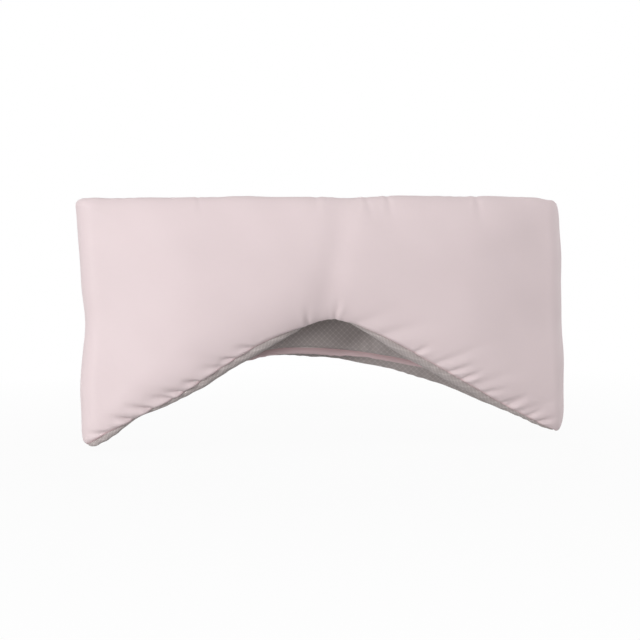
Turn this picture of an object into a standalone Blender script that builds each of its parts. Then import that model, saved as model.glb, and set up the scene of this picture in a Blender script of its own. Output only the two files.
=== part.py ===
"""A wrap-around sleep mask, closed as it is worn: a padded front with a nose arch, two padded sides
that fold round the head, and two padded wings that overlap behind it in a hook and loop closure.

Frame: +Z up, the front faces -Y, +X is the right-hand side seen from the front. The origin is midway
between the two side folds, at the height of the nose arch's apex. Lengths are in metres.
"""

import math

import bmesh
import bpy
import numpy as np

# The closed loop
LOOP_WIDTH = 0.240  # across both side folds, over the satin
TOP_HEIGHT = 0.060  # upper edge above the arch's apex
TIP_DROP = 0.060  # lower tips of the side folds below the arch's apex
FRONT_DEPTH = 0.018  # from the plane of the folds forward to the front's seams, at the middle
LEFT_DEPTH = 0.0155  # from the plane of the folds back to the left wing's seams
FOLD_RADIUS = 0.008  # of the seams round a side fold
FRONT_CREASE = 45  # degrees round a fold, forward of its middle, to the crease against the front
WING_CREASE = 28  # and back to the crease against the wing
FOLD_LEVEL = 0.005  # breadth of the level stretch of lower edge under a side fold

# The nose arch
ARCH_ROUNDING = 0.018  # how far from the middle the arch's apex stays round
ARCH_HOLLOW = 1.15  # above 1, the arch's two slopes sag a little

# The wings
LEFT_TIP = 0.060  # the left wing's end, to the right of the middle
RIGHT_TIP = -0.040  # the right wing's end, to the left of the middle
FLAT_START = 0.072  # from here to its end a wing lies flat, measured from the middle
LEFT_RISE = 0.041  # the left wing's lower edge climbs by this much
LEFT_CLIMB = 0.105  # over this distance from the fold
LEFT_SAG = 0.0105  # and falls again by this much at its end
RIGHT_RISE = 0.039
RIGHT_CLIMB = 0.140
RIGHT_SAG = 0.002
WING_TOP_DROP = 0.006  # a wing's upper edge lies this much below the front's
WING_TOP_RUN = 0.060
TIP_CORNER = 0.010  # radius of the corners at a wing's end

# Cloth and filling
SATIN = 0.0006
LINING = 0.0006
FRONT_SWELL = 0.009  # the front's filling on the satin side of the seams
FACE_SWELL = 0.0045  # and on the face side
WING_SWELL = 0.003  # a wing's filling on either side of its seams
SWELL_RUN = 0.060  # from a side fold to where the front is at its fullest
FRONT_ROLL = 0.028  # how far in from its edges the front is drawn in by the seams
WING_ROLL = 0.012
CREASE_DEPTH = 0.0018  # the soft upright crease above the nose
CREASE_BREADTH = 0.009
CLEARANCE = 0.0003  # between pieces that touch

# Thread and tapes
THREAD_RADIUS = 0.00035
SEAM_INSET = 0.0016  # a seam's thread from the edge
SEAM_BEND = 0.002  # radius of the thread's turn at a wing's end
TAPE_LENGTH = 0.062
TAPE_HEIGHT = 0.036
TAPE_MIDDLE = (0.012, 0.016)  # across and up
TAPE_BACKING = 0.0005
HOOK_PILE = 0.0009
LOOP_PILE = 0.0009
SELVAGE = 0.0026  # bare border of a tape, where it is stitched down
STITCH_RADIUS = 0.0002

# How finely the cloth is divided
FOLD_CELL = 0.0022  # along the seams, round a side fold
FRONT_CELLS = 11
BEND_CELLS = 4
FLAT_CELLS = 6
EDGE_ROWS = (0.0, 0.003, 0.009, 0.020)  # distances from an edge that get a row of points
STITCH_SPACING = 0.006

PINK = (0.84, 0.71, 0.71, 1.0)
GREY = (0.40, 0.37, 0.36, 1.0)
WHITE = (0.86, 0.85, 0.83, 1.0)
TAPE_GREY = (0.52, 0.47, 0.47, 1.0)

HALF_GAP = CLEARANCE / 2
FOLD_X = LOOP_WIDTH / 2 - HALF_GAP - SATIN - WING_SWELL
WING_FACE = HALF_GAP + SATIN + WING_SWELL
WING_BACK = HALF_GAP + LINING + WING_SWELL
CLOSURE = 2 * TAPE_BACKING + HOOK_PILE + LOOP_PILE + 3 * CLEARANCE
RIGHT_DEPTH = LEFT_DEPTH + WING_FACE + CLOSURE + WING_BACK
FRONT_CREASE_RUN = FOLD_RADIUS * math.radians(FRONT_CREASE)
WING_CREASE_RUN = FOLD_RADIUS * math.radians(WING_CREASE)
LEFT_WING = {
    "side": -1,
    "depth": LEFT_DEPTH,
    "tip": LEFT_TIP,
    "rise": LEFT_RISE,
    "climb": LEFT_CLIMB,
    "sag": LEFT_SAG,
}
RIGHT_WING = {
    "side": 1,
    "depth": RIGHT_DEPTH,
    "tip": RIGHT_TIP,
    "rise": RIGHT_RISE,
    "climb": RIGHT_CLIMB,
    "sag": RIGHT_SAG,
}


# Shape of the loop seen from above


def long_bend(depth, flat_start):
    """Angle and radius of the bend that joins a fold to a flat stretch at the given depth."""
    across = FOLD_X - FOLD_RADIUS - flat_start
    angle = 2 * math.atan2(depth - FOLD_RADIUS, across)
    return angle, FOLD_RADIUS + across / math.sin(angle)


def lengths(depth, flat_start):
    """Lengths of cloth round half a fold, and along the long bend after it."""
    angle, radius = long_bend(depth, flat_start)
    return FOLD_RADIUS * (math.pi / 2 - angle), radius * angle


def loop_path(run, depth, flat_start):
    """Distance in from the fold, depth, and turn of the seams, a given run of cloth from the fold.

    The path is a tight arc, a long bend and a straight, each tangent to the one before.
    """
    angle, radius = long_bend(depth, flat_start)
    fold, bend = lengths(depth, flat_start)
    quarter = math.pi / 2 - angle
    tight = np.clip(run / FOLD_RADIUS, 0, quarter)
    wide = quarter + np.clip((run - fold) / radius, 0, angle)
    inward = FOLD_RADIUS * (1 - np.cos(tight)) + radius * (math.cos(quarter) - np.cos(wide))
    inward = inward + np.maximum(run - fold - bend, 0)
    back = FOLD_RADIUS * np.sin(tight) + radius * (np.sin(wide) - math.sin(quarter))
    return inward, back, tight + wide - quarter


def smooth(share):
    share = np.clip(share, 0, 1)
    return share * share * (3 - 2 * share)


def drawn_in(distance, roll):
    """Share of the full swell at a distance from a seam: a quarter of an ellipse."""
    return np.sqrt(1 - (1 - np.clip(distance / roll, 0, 1)) ** 2)


# The padded panels: where their seams lie, their edges and their swell


def front_stations(run):
    """The right-hand half of the front, at these runs of cloth from the middle of its fold."""
    inward, forward, turn = loop_path(run, FRONT_DEPTH, 0)
    across = FOLD_X - inward
    spread = np.clip(across / (LOOP_WIDTH / 2 - FOLD_LEVEL), 0, 1)
    rounding = ARCH_ROUNDING / (LOOP_WIDTH / 2)
    slope = (np.hypot(spread, rounding) - rounding) / (math.hypot(1, rounding) - rounding)
    fullness = smooth(run / SWELL_RUN)
    crease = CREASE_DEPTH * np.exp(-((across / CREASE_BREADTH) ** 2))
    return {
        "x": across,
        "y": -forward,
        "nx": np.cos(turn),
        "ny": -np.sin(turn),
        "low": -TIP_DROP * (1 - (1 - slope) ** ARCH_HOLLOW),
        "high": np.full_like(run, TOP_HEIGHT),
        "out": WING_SWELL + (FRONT_SWELL - WING_SWELL) * fullness - crease,
        "in": WING_SWELL + (FACE_SWELL - WING_SWELL) * fullness,
        "end": np.ones_like(run),
        "roll": WING_ROLL + (FRONT_ROLL - WING_ROLL) * fullness,
    }


def wing_length(wing):
    """A wing's length along its seams, from the middle of its fold to its end."""
    fold, bend = lengths(wing["depth"], FLAT_START)
    return fold + bend + FLAT_START - wing["side"] * wing["tip"]


def wing_stations(wing, run):
    """A wing at these runs of cloth from the middle of its fold."""
    side, climb = wing["side"], wing["climb"]
    inward, back, turn = loop_path(run, wing["depth"], FLAT_START)
    from_end = wing_length(wing) - run
    corner = np.clip(TIP_CORNER - from_end, 0, TIP_CORNER)
    corner = TIP_CORNER - np.sqrt(TIP_CORNER**2 - corner**2)
    out = LOOP_WIDTH / 2 - FOLD_X + inward
    climbed = np.clip((out - FOLD_LEVEL) / (climb - FOLD_LEVEL), 0, 1)
    reach = max(LOOP_WIDTH / 2 - side * wing["tip"] - climb, climb / 2)
    fallen = np.clip((out - climb) / reach, 0, None)
    rise = wing["rise"] * np.sin(math.pi / 2 * climbed) - wing["sag"] * fallen**2
    return {
        "x": side * (FOLD_X - inward),
        "y": back,
        "nx": side * np.cos(turn),
        "ny": np.sin(turn),
        "low": rise - TIP_DROP + corner,
        "high": TOP_HEIGHT - WING_TOP_DROP * smooth(inward / WING_TOP_RUN) - corner,
        "out": np.full_like(run, WING_SWELL),
        "in": np.full_like(run, WING_SWELL),
        "end": drawn_in(from_end, WING_ROLL),
        "roll": np.full_like(run, WING_ROLL),
    }


def mirrored(stations):
    """The same stations on the left-hand side."""
    return stations | {"x": -stations["x"], "nx": -stations["nx"]}


def joined(first, second):
    """Two lots of stations, one after the other."""
    return {key: np.concatenate([first[key], second[key]]) for key in first}


def stretch(start, end, cell):
    """Runs from start to end in equal steps of about a cell."""
    count = max(1, round(abs(end - start) / cell))
    return np.linspace(start, end, count + 1)


def front_panel():
    """The front, from its crease against the left side to that against the right one."""
    fold, bend = lengths(FRONT_DEPTH, 0)
    first = stretch(FRONT_CREASE_RUN + HALF_GAP, fold, FOLD_CELL)
    second = np.linspace(fold, fold + bend, FRONT_CELLS + 1)[1:]
    run = np.concatenate([first, second])
    left = mirrored(front_stations(run[:-1]))
    return joined(left, front_stations(run[::-1])) | {"inner": slice(None)}


def side_panel(wing):
    """A side fold, from its crease against the front to that against its wing."""
    forward = front_stations(stretch(FRONT_CREASE_RUN - HALF_GAP, 0, FOLD_CELL)[:-1])
    if wing["side"] < 0:
        forward = mirrored(forward)
    back = wing_stations(wing, stretch(0, WING_CREASE_RUN - HALF_GAP, FOLD_CELL))
    return joined(forward, back) | {"inner": slice(None)}


def wing_panel(wing):
    """A wing, from its crease against its side fold to its end."""
    fold, bend = lengths(wing["depth"], FLAT_START)
    length = wing_length(wing)
    edges = length - np.array(EDGE_ROWS[::-1])
    first = stretch(WING_CREASE_RUN + HALF_GAP, fold, FOLD_CELL)
    second = np.linspace(fold, fold + bend, BEND_CELLS + 1)[1:]
    third = np.linspace(fold + bend, edges[0], FLAT_CELLS + 1)[1:]
    run = np.concatenate([first, second, third, edges[1:]])
    ends = {"inner": slice(0, -1), "length": length, "run": run}
    return wing_stations(wing, run) | ends


def rows(panel):
    """Heights of every row of points, and the share of swell there, one line for each station."""
    low = panel["low"][:, None]
    high = panel["high"][:, None]
    edge = np.array(EDGE_ROWS)
    height = np.hstack([low + edge, (low + high) / 2, high - edge[::-1]])
    share = drawn_in(np.minimum(height - low, high - height), panel["roll"][:, None])
    return height, share * panel["end"][:, None]


# Solids


def add(name, data, material, axis):
    """An object whose mesh or curve is given about its joint's axis, or about the origin."""
    data.materials.append(material)
    piece = bpy.data.objects.new(name, data)
    bpy.context.scene.collection.objects.link(piece)
    piece.parent = axis
    return piece


def place(axis):
    """Where an axis stands, counted up its chain of parents."""
    here = np.zeros(3)
    while axis is not None:
        here = here + np.array(axis.location)
        axis = axis.parent
    return here


def grid_points(panel, height, offset, axis):
    """Points off the seams' surface by the offset, along its outward normal."""
    x = panel["x"][:, None] + panel["nx"][:, None] * offset
    y = panel["y"][:, None] + panel["ny"][:, None] * offset
    return np.stack([x, y, height], axis=-1) - place(axis)


def layer(name, outer, inner, material, axis):
    """A closed sheet between two grids of points, walled round its border."""
    shape = bmesh.new()
    grids = []
    for points in (outer, inner):
        grids.append([[shape.verts.new(point) for point in line] for line in points])
    for grid in grids:
        for line, following in zip(grid, grid[1:]):
            for j in range(len(line) - 1):
                shape.faces.new((line[j], following[j], following[j + 1], line[j + 1]))
    borders = []
    for grid in grids:
        first = [line[0] for line in grid]
        last = [line[-1] for line in grid]
        borders.append(first + grid[-1][1:-1] + last[::-1] + grid[0][-2:0:-1])
    for k in range(len(borders[0])):
        upper = (borders[0][k - 1], borders[0][k])
        lower = (borders[1][k], borders[1][k - 1])
        shape.faces.new(upper + lower)
    bmesh.ops.recalc_face_normals(shape, faces=shape.faces)
    mesh = bpy.data.meshes.new(name)
    shape.to_mesh(mesh)
    shape.free()
    mesh.shade_smooth()
    return add(name, mesh, material, axis)


def padded(name, panel, finishes, axis):
    """A panel's cover, wadding and lining."""
    height, share = rows(panel)
    outward = HALF_GAP + panel["out"][:, None] * share
    inward = HALF_GAP + panel["in"][:, None] * share
    cover = [grid_points(panel, height, offset, axis) for offset in (outward + SATIN, outward)]
    lining = [grid_points(panel, height, -offset, axis) for offset in (inward, inward + LINING)]
    filling = [
        grid_points(panel, height, outward - CLEARANCE, axis),
        grid_points(panel, height, CLEARANCE - inward, axis),
    ]
    filling = [points[panel["inner"], 1:-1] for points in filling]
    layer(name + "_cover", *cover, finishes["satin"], axis)
    layer(name + "_wadding", *filling, finishes["wadding"], axis)
    layer(name + "_lining", *lining, finishes["lining"], axis)


def thread(name, points, radius, material, axis, closed=False):
    """A tube of thread along a line of points."""
    curve = bpy.data.curves.new(name, "CURVE")
    curve.dimensions = "3D"
    curve.bevel_depth = radius
    curve.bevel_resolution = 0
    curve.use_fill_caps = not closed
    line = curve.splines.new("POLY")
    line.points.add(len(points) - 1)
    line.use_cyclic_u = closed
    for point, place_of in zip(line.points, np.asarray(points) - place(axis)):
        point.co = (*place_of, 1.0)
    return add(name, curve, material, axis)


def edge_line(panel, inset):
    """Points along a panel's seams, a little in from the lower edge if the inset is above zero."""
    height = panel["low"] + inset if inset > 0 else panel["high"] + inset
    return np.stack([panel["x"], panel["y"], height], axis=-1)


def wing_seam(panel):
    """Points along a wing's lower seam, round its end and back along the upper seam."""
    turn = np.linspace(0, math.pi / 2, 4)
    bend = SEAM_INSET + SEAM_BEND
    level = panel["run"][panel["run"] < panel["length"] - bend]
    run = np.concatenate([level, panel["length"] - bend + SEAM_BEND * np.sin(turn)])
    rise = SEAM_INSET + np.concatenate([0 * level, SEAM_BEND * (1 - np.cos(turn))])
    x, y, low, high = (np.interp(run, panel["run"], panel[key]) for key in ("x", "y", "low", "high"))
    lower = np.stack([x, y, low + rise], axis=-1)
    upper = np.stack([x, y, high - rise], axis=-1)
    return np.concatenate([lower, upper[::-1]])


def tape(name, face, facing, pile, material, axis):
    """A fastening tape: a backing with a raised pile inside its bare border.

    The face is the depth of the surface it lies on, and facing is 1 or -1 along Y.
    """
    middle, height = TAPE_MIDDLE
    shape = bmesh.new()
    bmesh.ops.create_cube(shape, size=1.0)
    bmesh.ops.scale(shape, vec=(TAPE_LENGTH, TAPE_BACKING, TAPE_HEIGHT), verts=shape.verts)
    seat = face + facing * (CLEARANCE + TAPE_BACKING / 2)
    bmesh.ops.translate(shape, vec=np.array((middle, seat, height)) - place(axis), verts=shape.verts)
    front = max(shape.faces, key=lambda f: facing * f.calc_center_median().y)
    bmesh.ops.inset_region(shape, faces=[front], thickness=SELVAGE)
    raised = bmesh.ops.extrude_face_region(shape, geom=[front])["geom"]
    tops = [item for item in raised if isinstance(item, bmesh.types.BMVert)]
    bmesh.ops.translate(shape, vec=(0, facing * pile, 0), verts=tops)
    bmesh.ops.delete(shape, geom=[front], context="FACES")
    bmesh.ops.recalc_face_normals(shape, faces=shape.faces)
    mesh = bpy.data.meshes.new(name)
    shape.to_mesh(mesh)
    shape.free()
    return add(name, mesh, material, axis)


def tape_stitching(name, face, facing, material, axis):
    """Thread round a tape's bare border."""
    middle, height = TAPE_MIDDLE
    wide = TAPE_LENGTH / 2 - SELVAGE / 2
    tall = TAPE_HEIGHT / 2 - SELVAGE / 2
    depth = face + facing * (2 * CLEARANCE + TAPE_BACKING + STITCH_RADIUS)
    corners = ((-wide, -tall), (wide, -tall), (wide, tall), (-wide, tall))
    points = []
    for (x0, z0), (x1, z1) in zip(corners, corners[1:] + corners[:1]):
        count = max(2, round(math.hypot(x1 - x0, z1 - z0) / STITCH_SPACING))
        for share in np.arange(count) / count:
            points.append((middle + x0 + (x1 - x0) * share, depth, height + z0 + (z1 - z0) * share))
    thread(name, points, STITCH_RADIUS, material, axis, closed=True)


def finish(name, colour, roughness):
    """A plain matt cloth finish."""
    material = bpy.data.materials.new(name)
    material.use_nodes = True
    shader = material.node_tree.nodes["Principled BSDF"]
    shader.inputs["Base Color"].default_value = colour
    shader.inputs["Roughness"].default_value = roughness
    shader.inputs["Metallic"].default_value = 0.0
    return material


def crease_axis(name, stations, parent):
    """An empty on the upright line that cloth turns about, on the satin at the first station."""
    proud = HALF_GAP + SATIN + stations["out"][0]
    x = stations["x"][0] + stations["nx"][0] * proud
    y = stations["y"][0] + stations["ny"][0] * proud
    axis = bpy.data.objects.new(name, None)
    axis.location = np.array((x, y, 0)) - place(parent)
    axis.parent = parent
    bpy.context.scene.collection.objects.link(axis)
    return axis


def side_and_wing(name, wing, finishes):
    """A side fold on its crease, and on that the wing. Gives the wing's axis."""
    start = front_stations(np.array([FRONT_CREASE_RUN]))
    start = mirrored(start) if wing["side"] < 0 else start
    fold = crease_axis(name + "_side_fold", start, None)
    side = side_panel(wing)
    padded(name + "_side", side, finishes, fold)
    for level, inset in (("upper", -SEAM_INSET), ("lower", SEAM_INSET)):
        line = edge_line(side, inset)
        thread(f"{name}_side_{level}_seam_thread", line, THREAD_RADIUS, finishes["thread"], fold)
    end = wing_stations(wing, np.array([WING_CREASE_RUN]))
    axis = crease_axis(name + "_wing_fold", end, fold)
    panel = wing_panel(wing)
    padded(name + "_wing", panel, finishes, axis)
    thread(name + "_wing_seam_thread", wing_seam(panel), THREAD_RADIUS, finishes["thread"], axis)
    return axis


for old in list(bpy.data.objects):
    bpy.data.objects.remove(old)

finishes = {
    "satin": finish("pink_satin", PINK, 0.5),
    "wadding": finish("wadding", WHITE, 0.9),
    "lining": finish("grey_lining", GREY, 0.85),
    "thread": finish("thread", PINK, 0.6),
    "tape": finish("fastening_tape", TAPE_GREY, 0.8),
}

front = front_panel()
padded("front", front, finishes, None)
upper_line = edge_line(front, -SEAM_INSET)
lower_line = edge_line(front, SEAM_INSET)
thread("front_upper_seam_thread", upper_line, THREAD_RADIUS, finishes["thread"], None)
thread("front_lower_seam_thread", lower_line, THREAD_RADIUS, finishes["thread"], None)

left_axis = side_and_wing("left", LEFT_WING, finishes)
left_face = LEFT_DEPTH + WING_FACE
tape("loop_tape", left_face, 1, LOOP_PILE, finishes["tape"], left_axis)
tape_stitching("loop_tape_stitching", left_face, 1, finishes["thread"], left_axis)

right_axis = side_and_wing("right", RIGHT_WING, finishes)
right_face = RIGHT_DEPTH - WING_BACK
tape("hook_tape", right_face, -1, HOOK_PILE, finishes["tape"], right_axis)
tape_stitching("hook_tape_stitching", right_face, -1, finishes["thread"], right_axis)
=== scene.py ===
import math

import bpy
import numpy as np
from mathutils import Matrix, Vector


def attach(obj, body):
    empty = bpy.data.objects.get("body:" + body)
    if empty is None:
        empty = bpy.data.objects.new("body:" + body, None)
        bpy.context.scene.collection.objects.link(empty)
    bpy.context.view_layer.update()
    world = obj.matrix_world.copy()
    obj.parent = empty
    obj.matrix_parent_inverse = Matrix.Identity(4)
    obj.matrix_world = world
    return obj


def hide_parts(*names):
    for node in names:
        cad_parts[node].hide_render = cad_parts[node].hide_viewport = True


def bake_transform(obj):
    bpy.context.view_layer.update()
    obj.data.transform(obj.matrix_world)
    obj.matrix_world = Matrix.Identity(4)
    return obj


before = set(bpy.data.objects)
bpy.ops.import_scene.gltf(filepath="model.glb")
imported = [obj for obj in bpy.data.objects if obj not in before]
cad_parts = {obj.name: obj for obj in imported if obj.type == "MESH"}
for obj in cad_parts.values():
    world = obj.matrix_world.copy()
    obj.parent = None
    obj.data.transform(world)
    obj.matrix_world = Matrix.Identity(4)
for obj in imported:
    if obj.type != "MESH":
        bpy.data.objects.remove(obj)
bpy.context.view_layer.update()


# The satin cover
# One length of pale pink polyester satin goes round the front, both side folds and both wings. It is
# sewn to the lining along its edges, gathered a little into the arch's seam, and swollen by the wadding.

LOOP_WIDTH = 0.240
TOP_HEIGHT = 0.0594
TIP_DROP = 0.0590
FRONT_DEPTH = 0.018
FOLD_RADIUS = 0.008
FOLD_LEVEL = 0.005
ARCH_ROUNDING = 0.018
ARCH_HOLLOW = 1.15
FLAT_START = 0.072
WING_TOP_DROP = 0.006
WING_TOP_RUN = 0.060
TIP_CORNER = 0.010
LEFT_WING = {"side": -1, "depth": 0.0155, "tip": 0.060, "rise": 0.041, "climb": 0.105, "sag": 0.0105}
RIGHT_WING = {"side": 1, "depth": 0.0267, "tip": -0.040, "rise": 0.039, "climb": 0.140, "sag": 0.002}
FRONT_SWELL = 0.00975
FACE_SWELL = 0.00525
WING_SWELL = 0.00375
FOLD_X = 0.11625
SWELL_RUN = 0.060
FRONT_ROLL = 0.028
WING_ROLL = 0.012
SATIN_THICKNESS = 0.0005


def ease(share):
    """Three times the square less twice the cube: from 0 to 1 with level ends."""
    share = np.clip(share, 0, 1)
    return share * share * (3 - 2 * share)


def bell(distance, breadth):
    """A Gaussian bump of height 1."""
    return np.exp(-((distance / breadth) ** 2))


def bump_at(x, height, place, breadth):
    """A Gaussian bump of this height and breadth at a place across the mask."""
    return height * bell(x - place, breadth)


def long_bend(depth, flat_start):
    """Angle and radius of the bend that joins a fold's arc to a flat stretch at this depth."""
    across = FOLD_X - FOLD_RADIUS - flat_start
    angle = 2 * math.atan2(depth - FOLD_RADIUS, across)
    return angle, FOLD_RADIUS + across / math.sin(angle)


def half_length(depth, flat_start):
    """Cloth from the middle of a side fold to the end of the long bend."""
    angle, radius = long_bend(depth, flat_start)
    return FOLD_RADIUS * (math.pi / 2 - angle) + radius * angle


def seam_path(run, depth, flat_start):
    """Distance in from the fold, depth and turn, after a run of cloth: tight arc, long bend, straight."""
    angle, radius = long_bend(depth, flat_start)
    quarter = math.pi / 2 - angle
    fold = FOLD_RADIUS * quarter
    tight = np.clip(run / FOLD_RADIUS, 0, quarter)
    wide = quarter + np.clip((run - fold) / radius, 0, angle)
    inward = FOLD_RADIUS * (1 - np.cos(tight)) + radius * (math.cos(quarter) - np.cos(wide))
    inward = inward + np.maximum(run - fold - radius * angle, 0)
    back = FOLD_RADIUS * np.sin(tight) + radius * (np.sin(wide) - math.sin(quarter))
    return inward, back, tight + wide - quarter


def drawn_in(distance, roll):
    """Share of the full swell at a distance from a seam: a quarter of an ellipse."""
    return np.sqrt(1 - (1 - np.clip(distance / roll, 0, 1)) ** 2)


FRONT_HALF = half_length(FRONT_DEPTH, 0)


def wing_length(wing):
    """Cloth from the middle of a side fold to the wing's end."""
    return half_length(wing["depth"], FLAT_START) + FLAT_START - wing["side"] * wing["tip"]


# The sewn arch isn't even. Each bump has a height, a place across and a breadth.
LEFT_SLOPE_LIFT = (0.0030, -0.092, 0.016)
ARCH_TOP_LIFT = (0.0010, 0.003, 0.012)
RIGHT_SLOPE_DROP = (-0.0024, 0.042, 0.030)
LEFT_LIFT_RUN = 0.034


def arch_drift(x, run):
    """Sum of bumps: the left slope and the top stand a little high, the right slope a little low."""
    left = bump_at(x, *LEFT_SLOPE_LIFT) * ease(run / LEFT_LIFT_RUN)
    right = bump_at(x, *RIGHT_SLOPE_DROP) * ease(run / SWELL_RUN)
    return left + bump_at(x, *ARCH_TOP_LIFT) + right


def front_lines(along):
    """The front's seams: an arc seen from above, and below it a hyperbola's branch with hollow slopes."""
    run = np.maximum(FRONT_HALF - np.abs(along), 0)
    inward, forward, turn = seam_path(run, FRONT_DEPTH, 0)
    side = np.where(along < 0, -1.0, 1.0)
    across = FOLD_X - inward
    spread = np.clip(across / (LOOP_WIDTH / 2 - FOLD_LEVEL), 0, 1)
    rounding = ARCH_ROUNDING / (LOOP_WIDTH / 2)
    slope = (np.hypot(spread, rounding) - rounding) / (math.hypot(1, rounding) - rounding)
    fullness = ease(run / SWELL_RUN)
    return {
        "x": side * across,
        "y": -forward,
        "nx": side * np.cos(turn),
        "ny": -np.sin(turn),
        "low": -TIP_DROP * (1 - (1 - slope) ** ARCH_HOLLOW) + arch_drift(side * across, run),
        "high": TOP_HEIGHT + 0 * run,
        "out": WING_SWELL + (FRONT_SWELL - WING_SWELL) * fullness,
        "in": WING_SWELL + (FACE_SWELL - WING_SWELL) * fullness,
        "roll": WING_ROLL + (FRONT_ROLL - WING_ROLL) * fullness,
        "end": 1 + 0 * run,
    }


def wing_lines(along, wing):
    """A wing's seams: the lower edge climbs by a quarter of a sine and falls by a parabola to its end."""
    run = np.maximum(np.abs(along) - FRONT_HALF, 0)
    side, climb = wing["side"], wing["climb"]
    inward, back, turn = seam_path(run, wing["depth"], FLAT_START)
    from_end = np.maximum(wing_length(wing) - run, 0)
    corner = np.clip(TIP_CORNER - from_end, 0, TIP_CORNER)
    corner = TIP_CORNER - np.sqrt(TIP_CORNER**2 - corner**2)
    out = LOOP_WIDTH / 2 - FOLD_X + inward
    climbed = np.clip((out - FOLD_LEVEL) / (climb - FOLD_LEVEL), 0, 1)
    reach = max(LOOP_WIDTH / 2 - side * wing["tip"] - climb, climb / 2)
    fallen = np.clip((out - climb) / reach, 0, None)
    rise = wing["rise"] * np.sin(math.pi / 2 * climbed) - wing["sag"] * fallen**2
    return {
        "x": side * (FOLD_X - inward),
        "y": back,
        "nx": side * np.cos(turn),
        "ny": np.sin(turn),
        "low": rise - TIP_DROP + corner,
        "high": TOP_HEIGHT - WING_TOP_DROP * ease(inward / WING_TOP_RUN) - corner,
        "out": WING_SWELL + 0 * run,
        "in": WING_SWELL + 0 * run,
        "roll": WING_ROLL + 0 * run,
        "end": drawn_in(from_end, WING_ROLL),
    }


# The upper right corner is rounded off, the lower right tip is lifted, and the upper left corner is square.
RIGHT_CORNER_DROP = 0.0024
RIGHT_CORNER_BREADTH = 0.014
RIGHT_TIP_LIFT = 0.0012
RIGHT_TIP_BREADTH = 0.020
LEFT_CORNER_SQUARE = 0.75
LEFT_CORNER_BREADTH = 0.020


def seam_lines(along):
    """All the seams' lines, at places counted along the cloth from the front's middle to the right."""
    front, left, right = front_lines(along), wing_lines(along, LEFT_WING), wing_lines(along, RIGHT_WING)
    wing = {key: np.where(along < 0, left[key], right[key]) for key in left}
    lines = {key: np.where(np.abs(along) < FRONT_HALF, front[key], wing[key]) for key in front}
    lines["high"] = lines["high"] - RIGHT_CORNER_DROP * bell(along - FRONT_HALF, RIGHT_CORNER_BREADTH)
    lines["low"] = lines["low"] + RIGHT_TIP_LIFT * bell(along - FRONT_HALF, RIGHT_TIP_BREADTH)
    square = LEFT_CORNER_SQUARE * bell(along + FRONT_HALF, LEFT_CORNER_BREADTH)
    lines["top_roll"] = lines["roll"] * (1 - square)
    return lines


SIDE_PULL = 0.0029
SIDE_PULL_RUN = 0.055
LEFT_PULL_HEIGHT = 0.004
LEFT_PULL_BREADTH = 0.032
RIGHT_PULL_RISE = 0.140


def drawn_sides(points, depth):
    """The side folds draw in between their corners: the left at mid height, the right towards the top.

    The outer cloth goes the whole way, the seams half of it, and the inner cloth stays.
    """
    x, height = points[..., 0], points[..., 2]
    near = ease((np.abs(x) + SIDE_PULL_RUN - LOOP_WIDTH / 2) / SIDE_PULL_RUN)
    left = SIDE_PULL * bell(height - LEFT_PULL_HEIGHT, LEFT_PULL_BREADTH)
    right = -SIDE_PULL * ease((height + TIP_DROP) / RIGHT_PULL_RISE)
    moved = points.copy()
    moved[..., 0] += (0.5 + 0.5 * depth) * near * np.where(x < 0, left, right)
    return moved


def layer(along, face, wrap_top, wrap_low, rows):
    """Points of one layer of cloth: a line of points for each place along it.

    A quarter of an ellipse leads from the upper seam to the full swell, a straight runs down, and another
    quarter turns in to the lower seam. A wrap above zero goes round the edge on to the other face.
    """
    line = {key: value[:, None] for key, value in seam_lines(along).items()}
    own, other = (line["out"], line["in"]) if face > 0 else (line["in"], line["out"])
    roll, top_roll = line["roll"], line["top_roll"]
    first = -np.sign(wrap_top[:, None]) * np.arccos(1 - np.abs(wrap_top[:, None]) / top_roll)
    last = -np.sign(wrap_low[:, None]) * np.arccos(1 - np.abs(wrap_low[:, None]) / roll)
    upper = first + (math.pi / 2 - first) * np.linspace(0, 1, rows[0])
    level = np.linspace(0, 1, rows[1] + 2)[1:-1]
    lower = math.pi / 2 + (last - math.pi / 2) * np.linspace(0, 1, rows[2])
    top, bottom = line["high"] - top_roll, line["low"] + roll
    height = [top + top_roll * np.cos(upper), top + (bottom - top) * level, bottom - roll * np.cos(lower)]
    share = np.hstack([np.sin(upper), np.ones((len(along), rows[1])), np.sin(lower)])
    offset = face * share * np.where(share > 0, own, other) * line["end"]
    x, y = line["x"] + line["nx"] * offset, line["y"] + line["ny"] * offset
    return drawn_sides(np.stack([x, y, np.hstack(height)], axis=-1), face * share)


def unit(vectors):
    """The same vectors, each divided by its length."""
    return vectors / np.linalg.norm(vectors, axis=-1, keepdims=True)


def grid_normals(points, face):
    """Unit normals of a grid of points, from the cross product of its two directions."""
    return unit(np.cross(np.gradient(points, axis=1), np.gradient(points, axis=0)) * face)


def down_cloth(points):
    """Distance of every point from its line's first one, along the cloth."""
    step = np.linalg.norm(np.diff(points, axis=1), axis=-1)
    return np.hstack([np.zeros((len(points), 1)), np.cumsum(step, axis=1)])


# Places along the cloth. The pieces meet in the middle of each side fold, and a little in front of it.
SIDE_RUN = 0.0106
END_RUN = 0.012
WING_STEP = 0.0013
FOLD_PLACES = 15
END_PLACES = 14
SIDE_PLACES = 14
FRONT_PLACES = 270


def wing_places(wing):
    """Runs of cloth from the fold to the wing's end, closer together at the fold and at the end."""
    length = wing_length(wing)
    fold = np.linspace(0, END_RUN, FOLD_PLACES)
    middle = np.linspace(END_RUN, length - END_RUN, round((length - 2 * END_RUN) / WING_STEP))
    end = length - END_RUN * (1 - np.sin(math.pi / 2 * np.linspace(0, 1, END_PLACES)))
    return np.concatenate([fold[:-1], middle[:-1], end])


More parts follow.
